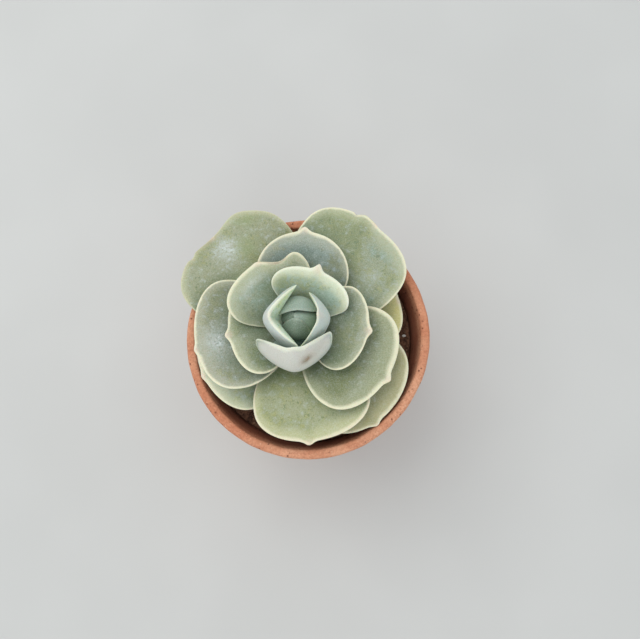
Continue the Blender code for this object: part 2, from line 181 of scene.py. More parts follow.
# From the lowest leaf to the growing point
LEAVES = [
    Leaf(azimuth=15, reach=43, tip_height=87, level=-0.2, base_rise=9, tip_rise=-2, width=32,
         cup_left=8, cup_right=8, point=0, tip_flat=1, roll=4, blue=0.1, face=(0.68, 0.67, 0.45)),
    Leaf(azimuth=207, reach=44, tip_height=90.5, level=1.6, base_rise=13, tip_rise=5, width=42,
         cup_left=0, cup_right=8, point=0.8, roll=-1, blue=0.6, face=(0.64, 0.67, 0.56)),
    Leaf(azimuth=316, reach=49, tip_height=89.2, level=1.2, base_rise=12, tip_rise=3, width=45,
         cup_left=6, cup_right=0, base_fullness=1.0, point_offset=-7.5, roll=5, blue=0.1,
         face=(0.58, 0.58, 0.43)),
    Leaf(azimuth=279, reach=46, tip_height=93.5, level=3.6, base_rise=14, tip_rise=4, width=47,
         cup_left=20, cup_right=17, tip_fullness=2.6, point_offset=-3.7, roll=2, blue=0.25,
         face=(0.60, 0.62, 0.47), pink=0.3),
    Leaf(azimuth=135, reach=54.6, tip_height=92.2, level=4.4, base_rise=15, tip_rise=-10, width=52,
         cup_left=6, cup_right=5, tip_fullness=2.6, tip_flat=2, point=0, roll=3, blue=0.4,
         notches=((-15, 7, -2.2), (11.5, 1.5, 1.2)), margin=0.5, bloom=0.9, face=(0.56, 0.58, 0.46),
         rim=(0.76, 0.77, 0.63),
         rubs=((0.68, -0.3, 0.1, 0.2, 1.0), (0.86, -0.75, 0.08, 0.2, 1.0), (0.5, 0.1, 0.1, 0.5, 0.6)),
         scars=((0.98, 0.1, 0.02, 0.4, 0.4),), frosts=((0.8, -0.05, 0.14, 0.2, 1.0),)),
    Leaf(azimuth=53.5, reach=51.6, tip_height=94.5, level=5.2, base_rise=22, tip_rise=-8, width=48,
         cup_left=14, cup_right=14, tip_fullness=2.6, tip_flat=0.5, point=0.5, roll=3, blue=0.6,
         notches=((5, 4, -1.4), (8.5, 1.2, 1.2)), face=(0.56, 0.59, 0.48),
         rubs=((0.89, 0.8, 0.07, 0.25, 1.0),), frosts=((0.6, -0.5, 0.06, 0.12, 0.7),)),
    Leaf(azimuth=189, reach=42, tip_height=98.5, level=6.6, base_rise=23, tip_rise=5, width=45,
         cup_left=20, cup_right=14, tip_fullness=2.4, point=1.0, point_offset=4, roll=1, blue=0.5,
         frosts=((0.8, 0.1, 0.14, 0.25, 1.0),), bloom=0.7, face=(0.53, 0.55, 0.47)),
    Leaf(azimuth=327, reach=40.5, tip_height=99, level=7.4, base_rise=22, tip_rise=6, width=44,
         cup_left=20, cup_right=20, blue=0.35, face=(0.49, 0.52, 0.40), margin=1.5),
    Leaf(azimuth=87, reach=37, tip_height=100.8, level=7.7, base_rise=25, tip_rise=5, width=38,
         widest_at=0.5, base_fullness=1.0, tip_fullness=2.0, point=2.0, roll=-2, blue=1.0,
         face=(0.51, 0.54, 0.47)),
    Leaf(azimuth=190, reach=28, tip_height=100.8, level=9.5, base_rise=25, tip_rise=10, width=36,
         cup_left=19, cup_right=19, roll=2, thickness=3.8, blue=0.4, face=(0.54, 0.57, 0.46)),
    Leaf(azimuth=126, reach=28.5, tip_height=105.5, level=12.2, base_rise=27, tip_rise=10, width=37,
         cup_left=15, cup_right=24, cup_at_base=0.3, base_fullness=1.0, tip_fullness=2.6, point=0.5,
         lopside=0.09, roll=6, thickness=3.6, blue=0.5,
         notches=((-7, 5, 2.9), (-11, 5.5, 1.7)), face=(0.56, 0.59, 0.48),
         scars=((0.95, -0.7, 0.05, 0.35, 0.7),),
         frosts=((0.8, 0.3, 0.05, 0.3, 1.0), (0.7, 0.55, 0.08, 0.1, 0.7))),
    Leaf(azimuth=351, reach=27.2, tip_height=104.5, level=11.0, base_rise=22, tip_rise=16, width=34,
         cup_left=21, cup_right=21, roll=1, thickness=3.8, blue=0.6, face=(0.52, 0.55, 0.46)),
    Leaf(azimuth=68, reach=20, tip_height=109.5, level=14.2, base_rise=27, tip_rise=26, width=32,
         cup_left=24, cup_right=24, base_fullness=1.1, point=2.5, point_width=1.6, roll=5,
         thickness=3.4, blue=1.0, face=(0.69, 0.72, 0.61), rim=YOUNG_RIM, deep=0.5),
    Leaf(azimuth=266, reach=13.1, tip_height=115, level=14.8, base_rise=5, tip_rise=125, width=31.5,
         cup_left=38, cup_right=38, cup_at_base=1.2, cup_at_tip=0.9, fold=28, fold_round=1.5,
         lopside=0.03, roll=7, thickness=3.5, tip_fullness=2.0, edge=1.7, upright=0.7,
         base_pull=0.87, tip_pull=0.7, wave=0.1, face=HEART, rim=YOUNG_RIM, deep=0.1, blush=0,
         back=(0.83, 0.82, 0.78), margin=0.6, border=0, bloom=0.9,
         scars=((0.81, 0.27, 0.055, 0.12, 1.0), (0.8, 0.4, 0.12, 0.3, 0.22))),
    Leaf(azimuth=182, reach=10.6, tip_height=116, level=16.0, base_rise=18, tip_rise=108, width=26.4,
         cup_left=45, cup_right=45, cup_at_base=1.3, cup_at_tip=0.6, fold=38, fold_round=1.5,
         thickness=4.0, tip_fullness=2.0, edge=1.5, upright=0.5, base_pull=0.45, wave=0.1,
         face=BUD, back=(0.76, 0.79, 0.77), rim=YOUNG_RIM, belly=2.0, margin=0.4, border=0,
         deep=0.1, blush=0.15, bloom=0.8),
    Leaf(azimuth=0, reach=8.4, tip_height=116, level=15.9, base_rise=37, tip_rise=120, width=25.4,
         cup_left=42, cup_right=42, cup_at_base=1.3, cup_at_tip=0.6, fold=30, fold_round=1.5,
         lopside=-0.18, thickness=2.6, tip_fullness=2.0, edge=1.5, upright=0.6,
         base_pull=0.5, tip_pull=0.6, wave=0.1, face=BUD, rim=YOUNG_RIM, deep=0.1, blush=0.25,
         back=(0.74, 0.78, 0.76), belly=2.2, margin=0.4, border=0, bloom=0.8),
    Leaf(azimuth=88, reach=2.2, tip_height=113.4, level=17.2, base_rise=42, tip_rise=150, width=19,
         cup_left=62, cup_right=50, fold=12, fold_round=2.5, lopside=0.08, thickness=1.8, point=0,
         upright=0.7, base_pull=0.6, tip_pull=0.8, wave=0.05, face=CORE, back=HEART, rim=HEART,
         margin=0.4, border=0.25, deep=0.2, blush=0, bloom=0.2),
    Leaf(azimuth=12, reach=-0.9, tip_height=112.6, level=18.0, base_rise=25, tip_rise=160, width=11,
         cup_left=32, cup_right=32, fold=30, fold_round=0.5, tip_fullness=1.2, widest_at=0.45,
         thickness=1.5, point=0.3, upright=0.6, base_pull=0.6, tip_pull=0.6, base_radius=2.6, wave=0,
         margin=0.5, border=0, face=HEART, back=HEART, rim=HEART, deep=0.2, blush=0, bloom=0),
    Leaf(azimuth=140, reach=-0.6, tip_height=112.3, level=18.6, base_rise=20, tip_rise=160, width=10,
         cup_left=32, cup_right=32, fold=30, fold_round=0.5, tip_fullness=1.2, widest_at=0.45,
         thickness=1.5, point=0.3, upright=0.6, base_pull=0.65, tip_pull=0.6, base_radius=2.6, wave=0,
         margin=0.5, border=0, face=CORE, back=CORE, rim=HEART, deep=0.2, blush=0, bloom=0),
    Leaf(azimuth=258, reach=1.0, tip_height=112.4, level=19.2, base_rise=15, tip_rise=155, width=13,
         cup_left=32, cup_right=32, fold=26, fold_round=0.5, tip_fullness=1.2, widest_at=0.45,
         thickness=1.6, point=0.3, upright=0.6, base_pull=0.7, tip_pull=0.7, base_radius=2.6, wave=0,
         margin=0.5, border=0, face=CORE, back=CORE, rim=HEART, deep=0.2, blush=0, bloom=0),
]


def smooth(t):
    """0 below 0, 1 above 1, and an even slope between."""
    t = np.clip(t, 0, 1)
    return t * t * (3 - 2 * t)


def midrib(leaf, s):
    """The midrib's points and directions at shares s of its length, its chord and the chord's length."""
    base_radius = leaf.base_radius or STEM_REACH - STEM_TAPER * leaf.level
    base = np.array([base_radius, LOWEST_BASE + leaf.level])
    tip = np.array([leaf.reach, leaf.tip_height])
    length = np.linalg.norm(tip - base)
    base_angle, tip_angle = radians(leaf.base_rise), radians(leaf.tip_rise)
    near_base = base + leaf.base_pull * length * np.array([cos(base_angle), sin(base_angle)])
    near_tip = tip - leaf.tip_pull * length * np.array([cos(tip_angle), sin(tip_angle)])
    s = s[:, None]
    r = 1 - s
    point = r**3 * base + 3 * r * r * s * near_base + 3 * r * s * s * near_tip + s**3 * tip
    slope = r * r * (near_base - base) + 2 * r * s * (near_tip - near_base) + s * s * (tip - near_tip)
    slope /= np.linalg.norm(slope, axis=1, keepdims=True)
    return point, slope, (tip - base) / length, length


def outline(leaf, s):
    """Half-width at s, as a share of the full half-width."""
    swell = np.sin(pi / 2 * np.clip(s / leaf.widest_at, 0, 1))**leaf.base_fullness
    closing = np.sqrt(1 - (1 - np.clip(s / BASE_CLOSE, 0, 1))**2)
    past = np.clip((s - leaf.widest_at) / (1 - leaf.widest_at), 0, 1)
    end = np.sqrt(np.clip(1 - past**leaf.tip_fullness, 0, 1))
    return np.where(s > leaf.widest_at, end, closing * (BASE_NECK + (1 - BASE_NECK) * swell))


def stretched(leaf, across, s):
    """How far a point is drawn towards the tip by the pointed end, the flat end and notches."""
    out = leaf.point * np.exp(-((across - leaf.point_offset) / leaf.point_width)**2)
    out = out * smooth((s - POINT_START) / (1 - POINT_START))**1.5
    end = smooth((s - END_START) / (1 - END_START))
    out = out - leaf.tip_flat * np.exp(-(across / TIP_FLAT_WIDTH)**2) * end
    for centre, half_width, depth in leaf.notches:
        out = out - depth * np.exp(-((across - centre) / half_width)**2) * end
    return out


def blots(spots, s, q):
    """Sum of soft spots, each (along, across, along radius, across radius, strength)."""
    total = np.zeros_like(s)
    for along, across, along_radius, across_radius, strength in spots:
        total += strength * np.exp(-((s - along) / along_radius)**2 - ((q - across) / across_radius)**2)
    return total


def moulded(leaf, unit, seed):
    """The unit sphere's points as a leaf: x goes across it, y through it and z along it."""
    x, y, z = unit.T
    s = (1 + z) / 2
    ring = np.sqrt(np.clip(1 - z * z, 1e-9, 1))
    q = x / ring
    point, along, chord, length = midrib(leaf, s)

    across = leaf.width / 2 * outline(leaf, s) * q
    across = across * np.where(across > 0, 1 + leaf.lopside, 1 - leaf.lopside)
    stretch = stretched(leaf, across, s)

    cup = np.radians(np.where(across > 0, leaf.cup_left, leaf.cup_right))
    cup = np.maximum(cup * (leaf.cup_at_base * (1 - s) + leaf.cup_at_tip * s), 1e-4)
    bend_radius = leaf.width / 2 / cup
    angle = across / bend_radius
    side, up = bend_radius * np.sin(angle), bend_radius * (1 - np.cos(angle))
    fold = radians(leaf.fold) * smooth((s - FOLD_START) / FOLD_RUN)
    span = np.hypot(across, leaf.fold_round)
    up = up + np.tan(fold) * (span - leaf.fold_round)
    swing = np.sin(SLOW_WAVE * s + 1.7 * seed) * np.sign(q) + np.sin(QUICK_WAVE * s + 2.3 * seed)
    up = up + leaf.wave * swing * np.abs(q)**3 * smooth((s - WAVE_START) / WAVE_RUN)

    through = np.abs(y) / ring
    swell = BASE_THICKNESS + (1 - BASE_THICKNESS) * smooth(s / 0.4)
    depth = leaf.thickness / 2 * ring * through**leaf.edge * swell
    depth = depth * np.where(y > 0, leaf.belly, -BACK_SHARE) * (1 - TIP_THINNING * s)
    roll = radians(leaf.roll)
    tilt = (np.abs(angle) + fold * np.abs(across) / span) * np.sign(across) + roll
    side, up = side * cos(roll) - up * sin(roll), side * sin(roll) + up * cos(roll)
    side = side - np.sin(tilt) * depth
    rise = np.cos(tilt) * depth

    square = np.stack([-along[:, 1], along[:, 0]], 1)
    lift = (1 - leaf.upright) * square + leaf.upright * np.array([-chord[1], chord[0]])
    lift /= np.linalg.norm(lift, axis=1, keepdims=True)
    plane = point + lift * up[:, None] + square * rise[:, None] + along * stretch[:, None]
    turn = radians(leaf.azimuth)
    places = np.stack([PLANT_X + plane[:, 0] * cos(turn) - side * sin(turn),
                       PLANT_Y + plane[:, 0] * sin(turn) + side * cos(turn), plane[:, 1]], 1)

    # Distance to the margin and to the tip, measured on the leaf laid flat
    t = (1 - np.cos(np.linspace(0, pi, OUTLINE_POINTS))) / 2
    half = leaf.width / 2 * outline(leaf, t)
    rim = []
    for sign in (1, -1):
        out = sign * half * (1 + sign * leaf.lopside)
        rim.append(np.stack([out, t * length + stretched(leaf, out, t)], 1))
    rim = np.concatenate(rim)
    flat = np.stack([across, s * length + stretch], 1)
    margin = np.sqrt(((flat[:, None] - rim[None])**2).sum(2).min(1))
    tip = np.hypot(across - leaf.point_offset, (s - 1) * length)
    return places * MM, {"margin": margin, "tip": tip, "run": s, "face": np.sign(y) * through,
                         "rub": blots(leaf.rubs, s, q), "scar": blots(leaf.scars, s, q),
                         "frost": blots(leaf.frosts, s, q)}


# ---------------------------------------------------------------- materials

def linear(colour):
    """sRGB to the linear colour that a shader takes."""
    return [((c + 0.055) / 1.055)**2.4 if c > 0.04045 else c / 12.92 for c in colour]


class Paint:
    """A material's node tree, with short calls for the nodes that the finishes are made of."""

    def __init__(self, name, roughness, **fixed):
        self.mat = bpy.data.materials.new(name)
        self.mat.use_nodes = True
        self.tree = self.mat.node_tree
        self.shader = self.tree.nodes["Principled BSDF"]
        self.shader.inputs["Roughness"].default_value = roughness
        for socket, value in fixed.items():
            self.shader.inputs[socket.replace("_", " ")].default_value = value
        coordinates = self.tree.nodes.new("ShaderNodeTexCoord")
        self.here = self.vector("MULTIPLY", coordinates.outputs["Object"], (1000, 1000, 1000))

    def put(self, socket, value):
        if isinstance(value, bpy.types.NodeSocket):
            self.tree.links.new(value, socket)
        elif isinstance(value, (tuple, list)) and socket.type == "RGBA":
            socket.default_value = (*linear(value), 1)
        else:
            socket.default_value = value

    def vector(self, operation, a, b):
        node = self.tree.nodes.new("ShaderNodeVectorMath")
        node.operation = operation
        self.put(node.inputs[0], a)
        self.put(node.inputs[1], b)
        return node.outputs[0]

    def math(self, operation, a, b=0.0):
        node = self.tree.nodes.new("ShaderNodeMath")
        node.operation = operation
        self.put(node.inputs[0], a)
        self.put(node.inputs[1], b)
        return node.outputs[0]

    def noise(self, per_mm, detail=3, roughness=0.55, offset=0.0, stretch=(1, 1, 1)):
        place = self.vector("ADD", self.here, (offset, offset * 1.7, offset * 0.6))
        place = self.vector("MULTIPLY", place, stretch)
        node = self.tree.nodes.new("ShaderNodeTexNoise")
        self.put(node.inputs["Vector"], place)
        node.inputs["Scale"].default_value = per_mm
        node.inputs["Detail"].default_value = detail
        node.inputs["Roughness"].default_value = roughness
        return node.outputs["Fac"]

    def cells(self, per_mm, offset=0.0):
        place = self.vector("ADD", self.here, (offset, offset, offset))
        node = self.tree.nodes.new("ShaderNodeTexVoronoi")
        self.put(node.inputs["Vector"], place)
        node.inputs["Scale"].default_value = per_mm
        return node.outputs["Distance"]

    def attribute(self, name):
        node = self.tree.nodes.new("ShaderNodeAttribute")
        node.attribute_name = name
        return node.outputs["Fac"]

    def ramp(self, value, low, high, to_low=0.0, to_high=1.0):
        node = self.tree.nodes.new("ShaderNodeMapRange")
        node.interpolation_type = "SMOOTHSTEP"
        self.put(node.inputs["Value"], value)
        self.put(node.inputs["From Min"], low)
        self.put(node.inputs["From Max"], high)
        self.put(node.inputs["To Min"], to_low)
        self.put(node.inputs["To Max"], to_high)
        return node.outputs["Result"]

    def mix(self, share, a, b):
        node = self.tree.nodes.new("ShaderNodeMix")
        node.data_type = "RGBA"
        self.put(node.inputs[0], share)
        self.put(node.inputs[6], a)
        self.put(node.inputs[7], b)
        return node.outputs[2]

    def finish(self, colour, height=None, depth=0.2, roughness=None):
        """Joins the colour, a bump whose height is depth millimetres, and a roughness."""
        self.put(self.shader.inputs["Base Color"], colour)
        if roughness is not None:
            self.put(self.shader.inputs["Roughness"], roughness)
        if height is not None:
            bump = self.tree.nodes.new("ShaderNodeBump")
            bump.inputs["Strength"].default_value = 1.0
            bump.inputs["Distance"].default_value = depth * MM
            self.put(bump.inputs["Height"], height)
            self.put(self.shader.inputs["Normal"], bump.outputs["Normal"])
        return self.mat


def tinted(colour, tint):
    return tuple(min(c * t, 1.0) for c, t in zip(colour, tint))


def blended(a, b, share):
    return tuple((1 - share) * x + share * y for x, y in zip(a, b))


def leaf_paint(name, leaf, seed):
    """A mottled face with waxy bloom, painted shade near its base and under leaves above, a pale margin
    and a blushed tip; the back is paler.
    """
    p = Paint(name, 0.62, Subsurface_Weight=0.08, Subsurface_Scale=0.002,
              Specular_IOR_Level=0.35, Sheen_Weight=0.08, Sheen_Roughness=0.6)
    offset = 31.0 * seed
    broad = p.noise(0.05, detail=2, offset=offset)
    mottle = p.noise(0.38, detail=4, roughness=0.65, offset=offset)
    flecks = p.noise(1.0, detail=3, roughness=0.6, offset=offset + 9)
    grain = p.noise(2.4, detail=3, roughness=0.7, offset=offset)
    margin, run = p.attribute("margin"), p.attribute("run")
    # deep is the darker face colour: painted shade below, and also the darker patches and the flecks where
    # the bloom is thin
    deep = tinted(leaf.face, blended(DEEPER, DEEPER_BLUE, leaf.blue))

    # Broad patches of yellow-green and blue-grey, with darker flecks where the bloom is thin
    tone = p.math("ADD", broad, p.math("MULTIPLY", p.math("SUBTRACT", mottle, 0.5), 0.65))
    colour = p.mix(p.ramp(tone, 0.38, 0.50), tinted(leaf.face, YELLOWER), leaf.face)
    colour = p.mix(p.ramp(tone, 0.76 - 0.4 * leaf.blue, 0.94 - 0.4 * leaf.blue), colour,
                   tinted(leaf.face, BLUER))
    # Painted shade: the face darkens towards its base and within a few millimetres under the leaves above
    shaded = p.math("MAXIMUM", p.ramp(p.attribute("cover"), 0.3, 8.0, leaf.deep, 0.0),
                    p.ramp(run, 0.2, 0.6, leaf.deep, 0.0))
    colour = p.mix(shaded, colour, deep)
    colour = p.mix(p.ramp(broad, 0.30, 0.52, 0.5, 0.0), colour, deep)
    thin = p.math("MULTIPLY", p.ramp(flecks, 0.50, 0.62), p.ramp(mottle, 0.36, 0.52, 1.0, 0.15))
    colour = p.mix(p.math("MULTIPLY", thin, 0.85), colour, deep)
    powder = p.math("ADD", p.ramp(mottle, 0.52, 0.70, 0.0, 0.6), p.attribute("frost"))
    powder = p.math("MULTIPLY", powder, p.ramp(flecks, 0.36, 0.56, 0.25, 1.0))
    colour = p.mix(p.math("MULTIPLY", powder, 0.85 * leaf.bloom), colour, BLOOM)
    rubbed = p.math("MULTIPLY", p.attribute("rub"), p.ramp(mottle, 0.35, 0.6, 0.3, 1.0))
    colour = p.mix(p.math("MULTIPLY", rubbed, 0.75), colour, RUBBED)
    back = p.ramp(p.attribute("face"), -0.15, -0.6, 0.0, 0.9)
    pale = p.mix(p.ramp(run, 0.25, 0.75), tinted(leaf.back, DEEPER_BLUE), leaf.back)
    colour = p.mix(back, colour, pale)

    # The margin: a soft pale border that wanders in width, and a thin bright line along the edge
    width = p.math("MULTIPLY", p.ramp(run, 0.3, 0.95, 0.6, 1.15), p.ramp(broad, 0.35, 0.65, 0.7, 1.3))
    width = p.math("MULTIPLY", width, leaf.margin)
    place = p.math("DIVIDE", p.math("ADD", margin, p.math("SUBTRACT", mottle, 0.5)), width)
    # The pale border is the leaf's own colour; it fades out within a few millimetres under leaves above,
    # which paints shade there
    border = p.math("MULTIPLY", p.ramp(place, 0.2, 6.5, leaf.border, 0.0),
                    p.ramp(p.attribute("cover"), 1.0, 7.0))
    colour = p.mix(border, colour, tinted(leaf.face, PALER))
    line = p.math("MULTIPLY", p.ramp(place, 0.25, 1.35, 0.82, 0.0), p.ramp(run, 0.1, 0.3))
    colour = p.mix(line, colour, blended(leaf.rim, PINK, leaf.pink))
    colour = p.mix(p.ramp(p.attribute("tip"), 0.5, 2.4, leaf.blush, 0.0), colour, PINK)
    scar = p.math("MULTIPLY", p.attribute("scar"), p.ramp(mottle, 0.3, 0.6, 0.6, 1.0))
    colour = p.mix(p.math("MINIMUM", scar, 1.0), colour, SCAR)
    colour = p.mix(p.ramp(grain, 0.40, 0.72, 0.0, 0.14), colour, WHITE)
    colour = p.mix(p.ramp(grain, 0.28, 0.46, 0.16, 0.0), colour, tinted(leaf.face, FLECKED))

    height = p.math("ADD", p.math("MULTIPLY", mottle, 0.6), p.math("MULTIPLY", grain, 0.25))
    return p.finish(colour, height, depth=0.14, roughness=p.ramp(mottle, 0.3, 0.7, 0.52, 0.7))


def clay_paint():
    """Unglazed clay: throwing lines, pits and mineral specks, and darker inside above the soil."""
    p = Paint("terracotta_finish", 0.9, Specular_IOR_Level=0.3)
    broad = p.noise(0.05, detail=3, offset=3)
    grit = p.noise(1.1, detail=5, roughness=0.7, offset=7)
    rings = p.noise(0.9, detail=3, offset=11, stretch=(0.08, 0.08, 1))
    pits = p.ramp(p.cells(0.45, offset=5), 0.10, 0.22, 1.0, 0.0)
    pits = p.math("MULTIPLY", pits, p.ramp(p.noise(0.2, offset=19), 0.38, 0.58))
    specks = p.ramp(p.cells(0.8, offset=40), 0.10, 0.2, 1.0, 0.0)
    colour = p.mix(p.ramp(broad, 0.35, 0.65), CLAY_DARK, CLAY_PALE)
    colour = p.mix(p.ramp(grit, 0.35, 0.75, 0.0, 0.65), colour, CLAY_GRIT)
    colour = p.mix(p.ramp(rings, 0.4, 0.7, 0.0, 0.25), colour, CLAY_RING)
    colour = p.mix(p.math("MULTIPLY", specks, 0.5), colour, CLAY_SPECK)
    colour = p.mix(p.math("MULTIPLY", pits, 0.7), colour, CLAY_PIT)
    chalk = p.math("MULTIPLY", p.attribute("chalk"), p.ramp(grit, 0.35, 0.65))
    colour = p.mix(p.math("MULTIPLY", chalk, 0.45), colour, CHALK)
    # The inside wall is darker from just below the lip down
    colour = p.mix(p.math("MULTIPLY", p.attribute("darker_inside"), 0.85), colour, CLAY_INSIDE_DARK)
    height = p.math("SUBTRACT", p.math("ADD", p.math("MULTIPLY", grit, 0.5),
                                       p.math("MULTIPLY", rings, 0.4)), pits)
    return p.finish(colour, height, depth=0.35)


def soil_paint():
    p = Paint("potting_mix", 0.95, Specular_IOR_Level=0.25)
    clods = p.noise(0.5, detail=5, roughness=0.7)
    crumbs = p.noise(2.0, detail=4, roughness=0.7, offset=13)
    colour = p.mix(p.ramp(clods, 0.35, 0.65), SOIL_DARK, SOIL_PALE)
    colour = p.mix(p.ramp(crumbs, 0.62, 0.75, 0.0, 0.6), colour, SOIL_CRUMB)
    return p.finish(colour, p.math("ADD", clods, p.math("MULTIPLY", crumbs, 0.5)), depth=0.7)


def grain_paint():
    """Each grain has its own tone, from dark bark to white perlite."""
    p = Paint("grit", 0.9, Specular_IOR_Level=0.3)
    tone = p.attribute("tone")
    colour = p.mix(p.ramp(tone, 0.0, 0.6), GRAIN_DARK, GRAIN_BROWN)
    colour = p.mix(p.ramp(tone, 0.6, 0.9), colour, GRAIN_PALE)
    colour = p.mix(p.ramp(tone, 0.93, 0.99), colour, PERLITE_WHITE)
    crumbs = p.noise(3.0, detail=3, offset=21)
    colour = p.mix(p.ramp(crumbs, 0.4, 0.7, 0.0, 0.35), colour, GRAIN_STAIN)
    return p.finish(colour, crumbs, depth=0.25)


def stem_paint():
    p = Paint("stem_finish", 0.7, Specular_IOR_Level=0.35)
    streaks = p.noise(0.8, detail=4, offset=2, stretch=(1, 1, 0.35))
    colour = p.mix(p.ramp(streaks, 0.35, 0.65), STEM_GREEN, STEM_TAN)
    colour = p.mix(p.attribute("bark"), colour, STEM_BARK)
    return p.finish(colour, streaks, depth=0.3)


def floor_paint():
    p = Paint("pale_floor", 0.7)
    drift = p.noise(0.01, detail=2)
    return p.finish(p.mix(p.ramp(drift, 0.3, 0.7), FLOOR_GREY, FLOOR_PALE))


# ---------------------------------------------------------------- meshes

def add_piece(name, mesh, slot, paint, *replaced):
    mesh.materials.clear()
    mesh.materials.append(paint)
    mesh.shade_smooth()
    obj = bpy.data.objects.new(name, mesh)
    bpy.context.scene.collection.objects.link(obj)
    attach(obj, "root")
    if replaced:
        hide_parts(*replaced)
    return obj


def set_attributes(mesh, values):
    for name, data in values.items():
        mesh.attributes.new(name, "FLOAT", "POINT").data.foreach_set("value", data.astype(np.float32))


def points_of(mesh):
    co = np.zeros(len(mesh.vertices) * 3, np.float32)
    mesh.vertices.foreach_get("co", co)
    return co.reshape(-1, 3).astype(float)


def move_points(mesh, places):
    mesh.vertices.foreach_set("co", places.astype(np.float32).ravel())
    mesh.update()


def cover_of(mesh, above):
    """Distance in mm from each point to the nearest leaf above, or FAR where none is near."""
    cover = np.full(len(mesh.vertices), FAR)
    if not above:
        return cover
    bm = bmesh.new()
    for upper in above:
        bm.from_mesh(upper)
    tree = BVHTree.FromBMesh(bm)
    bm.free()
    for vert in mesh.vertices:
        nearest = tree.find_nearest(vert.co, FAR * MM)[3]
        if nearest is not None:
            cover[vert.index] = nearest / MM
    return cover


def leaf_slot(index):
    return frame["record"]["subparts"][index]["material_slot"]


def leaf_mesh(name, leaf, index):
    fewer = 2 if index >= FIRST_SMALL_LEAF else 1
    bm = bmesh.new()
    bmesh.ops.create_uvsphere(bm, u_segments=LEAF_SEGMENTS // fewer, v_segments=LEAF_RINGS // fewer,
                              radius=1)
    mesh = bpy.data.meshes.new(name)
    bm.to_mesh(mesh)
    bm.free()
    places, values = moulded(leaf, points_of(mesh), index)
    move_points(mesh, places)
    set_attributes(mesh, values)
    bm = bmesh.new()
    bm.from_mesh(mesh)
    bmesh.ops.recalc_face_normals(bm, faces=bm.faces)
    bm.to_mesh(mesh)
    bm.free()
    return mesh


def make_leaf(index, leaf, above):
    """Adds one leaf; above holds the meshes of the leaves that grow over it."""
    node = f"leaf_{index + 1:02d}"
    mesh = leaf_mesh(f"{node}_blade", leaf, index)
    set_attributes(mesh, {"cover": cover_of(mesh, above)})
    add_piece(f"{node}_blade", mesh, leaf_slot(index), leaf_paint(f"{node}_finish", leaf, index + 1), node)
    return mesh


def turned_mesh(name, profile, steps):
    """A mesh turned about Z from (radius, height) points; a point on the axis closes the end."""
    bm = bmesh.new()
    verts = [bm.verts.new((r, 0, z)) for r, z in profile]
    closed = profile[0][0] > 0
    edges = [bm.edges.new(pair) for pair in zip(verts, verts[1:] + verts[:1] if closed else verts[1:])]
    bmesh.ops.spin(bm, geom=verts + edges, cent=(0, 0, 0), axis=(0, 0, 1), angle=2 * pi, steps=steps,
                   use_merge=True)
    bmesh.ops.remove_doubles(bm, verts=bm.verts, dist=1e-6)
    bmesh.ops.recalc_face_normals(bm, faces=bm.faces)
    mesh = bpy.data.meshes.new(name)
    bm.to_mesh(mesh)
    bm.free()
    return mesh


def arc(centre_r, centre_z, radius, start, end, steps=6):
    points = []
    for i in range(steps + 1):
        angle = radians(start + (end - start) * i / steps)
        points.append((centre_r + radius * cos(angle), centre_z + radius * sin(angle)))
    return points


def run_between(a, b, step):
    """Points after a and up to b, about a step apart."""
    count = max(1, round(((b[0] - a[0])**2 + (b[1] - a[1])**2)**0.5 / step))
    return [(a[0] + (b[0] - a[0]) * i / count, a[1] + (b[1] - a[1]) * i / count)
            for i in range(1, count + 1)]


def filled(corners, step):
    points = [corners[0]]
    for a, b in zip(corners, corners[1:]):
        points += run_between(a, b, step)
    return points


# ---------------------------------------------------------------- pot

RIM = POT_HIGH.x / MM
HEIGHT = POT_HIGH.z / MM
SOIL_TOP = SOIL_HIGH.z / MM
SOIL_EDGE = SOIL_HIGH.x / MM
LIP_INNER = RIM - 3.8
LIP_ROUND = 1.7                 # radii of the lip's outer and inner edges
LIP_INNER_ROUND = 1.1
COLLAR_FOOT = HEIGHT - 21.5
COLLAR_ROUND = 1.0
COLLAR_TAPER = 0.6              # how much the collar narrows down to its foot
SHOULDER = RIM - 4.4
SHOULDER_ROUND = 0.8
WALL_TOP = RIM - 6.1            # inside radius at the soil's surface
FOOT = 32.0
FOOT_ROUND = 1.2
POT_FLOOR = 6.0
FLOOR_RADIUS = 25.5
FLOOR_ROUND = 2.0
DRAIN = 5.5
DRAIN_ROUND = 0.8
POT_STEP = 1.2                  # between two points of the pot's outline
POT_SEGMENTS = 200
SHRINK = 0.22                   # keeps the uneven wall inside the true one
OVAL = 0.14                     # heights of the wall's unevenness
RIPPLE = 0.08
WEAR = 0.16
LIP_WEAR = 0.18
LEVEL_FOOT = 3.0                # the wall is even below this height, and the lip uneven from LIP_FOOT up
LIP_FOOT = HEIGHT - 4
THIN_WALL = 1.5                 # less than the wall's thickness anywhere below the collar


def pot_outline():
    """Down the outside, in at the drain hole and up the inside."""
    corners = arc(RIM - LIP_ROUND, HEIGHT - LIP_ROUND, LIP_ROUND, 90, 0)
    corners += arc(RIM - COLLAR_TAPER - COLLAR_ROUND, COLLAR_FOOT + COLLAR_ROUND, COLLAR_ROUND, 0, -90)
    corners += arc(SHOULDER + SHOULDER_ROUND, COLLAR_FOOT - SHOULDER_ROUND, SHOULDER_ROUND, 90, 180, 3)
    corners += arc(FOOT - FOOT_ROUND, FOOT_ROUND, FOOT_ROUND, 0, -90)
    corners += arc(DRAIN + DRAIN_ROUND, DRAIN_ROUND, DRAIN_ROUND, 270, 180, 3)
    corners += arc(DRAIN + DRAIN_ROUND, POT_FLOOR - DRAIN_ROUND, DRAIN_ROUND, 180, 90, 3)
    corners += arc(FLOOR_RADIUS, POT_FLOOR + FLOOR_ROUND, FLOOR_ROUND, -90, 0)
    corners.append((WALL_TOP, SOIL_TOP))
    corners += arc(LIP_INNER + LIP_INNER_ROUND, HEIGHT - LIP_INNER_ROUND, LIP_INNER_ROUND, 170, 90)
    return [(r * MM, z * MM) for r, z in filled(corners, POT_STEP)]


